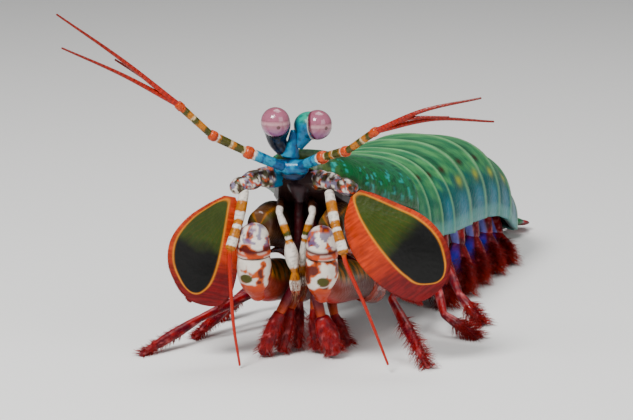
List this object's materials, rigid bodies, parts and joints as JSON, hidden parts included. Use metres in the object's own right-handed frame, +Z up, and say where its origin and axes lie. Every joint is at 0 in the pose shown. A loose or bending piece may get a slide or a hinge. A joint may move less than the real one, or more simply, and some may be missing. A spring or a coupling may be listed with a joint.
{
  "type": "mantis shrimp",
  "caption": "Life-size still model of a peacock mantis shrimp standing with its head raised, antennules spread and claws folded, its green banded body trailing behind.",
  "frame": {"origin": "centre of the bounding box in plan, at the level of the floor that the feet and tail stand on", "axes": "+Z up from the floor; +Y away from the viewer of the picture, roughly from head to tail; +X to that viewer's right, which is the animal's own left"},
  "size_m": [0.1044, 0.162, 0.0739],
  "materials": {
    "green_shell": "semi-gloss shell, banded green with teal flanks",
    "blue_shell": "gloss, bright blue to teal",
    "cornea_globe": "smooth gloss, pink to lilac with a pale middle band",
    "banded_orange": "semi-gloss, orange rings between white, olive and blue",
    "spotted_white": "semi-gloss, white with orange, gold and violet marks",
    "scale_vane": "semi-gloss, olive to black with an orange-red rim",
    "red_limb": "satin, crimson with bristles",
    "orange_claw": "semi-gloss, orange with white and olive spots",
    "red_club": "smooth gloss, red-brown",
    "dark_shell": "satin, dark brown to purple"
  },
  "bodies": {
    "root": {"carapace": "green_shell", "head_underside": "dark_shell", "antennular_somite": "blue_shell", "ophthalmic_somite": "blue_shell", "cornea_r": "cornea_globe", "cornea_l": "cornea_globe", "eyestalk_r": "blue_shell", "eyestalk_l": "blue_shell", "antennule_r": "banded_orange", "antennule_l": "banded_orange", "antenna_r": "spotted_white", "antenna_l": "spotted_white", "antennal_scale_r": "scale_vane", "antennal_scale_l": "scale_vane", "labrum": "dark_shell", "maxilliped_1_r": "spotted_white", "maxilliped_1_l": "spotted_white", "claw_merus_r": "dark_shell", "claw_carpus_r": "spotted_white", "claw_propodus_r": "orange_claw", "claw_dactyl_r": "red_club", "claw_merus_l": "dark_shell", "claw_carpus_l": "spotted_white", "claw_propodus_l": "orange_claw", "claw_dactyl_l": "red_club", "maxilliped_3_r": "red_limb", "maxilliped_4_r": "red_limb", "maxilliped_5_r": "red_limb", "maxilliped_3_l": "red_limb", "maxilliped_4_l": "red_limb", "maxilliped_5_l": "red_limb", "thorax_6": "green_shell", "thorax_7": "green_shell", "thorax_8": "green_shell", "leg_1_l": "red_limb", "leg_1_r": "red_limb", "leg_2_l": "red_limb", "leg_2_r": "red_limb", "leg_3_l": "red_limb", "leg_3_r": "red_limb", "abdomen_1": "green_shell", "abdomen_2": "green_shell", "abdomen_3": "green_shell", "abdomen_4": "green_shell", "abdomen_5": "green_shell", "abdomen_6": "green_shell", "swimming_leg_1_l": "red_limb", "swimming_leg_1_r": "red_limb", "swimming_leg_2_l": "red_limb", "swimming_leg_2_r": "red_limb", "swimming_leg_3_l": "red_limb", "swimming_leg_3_r": "red_limb", "swimming_leg_4_l": "red_limb", "swimming_leg_4_r": "red_limb", "swimming_leg_5_l": "red_limb", "swimming_leg_5_r": "red_limb", "telson": "green_shell", "tail_fan_l": "green_shell", "tail_fan_r": "green_shell"}
  },
  "joints": []
}
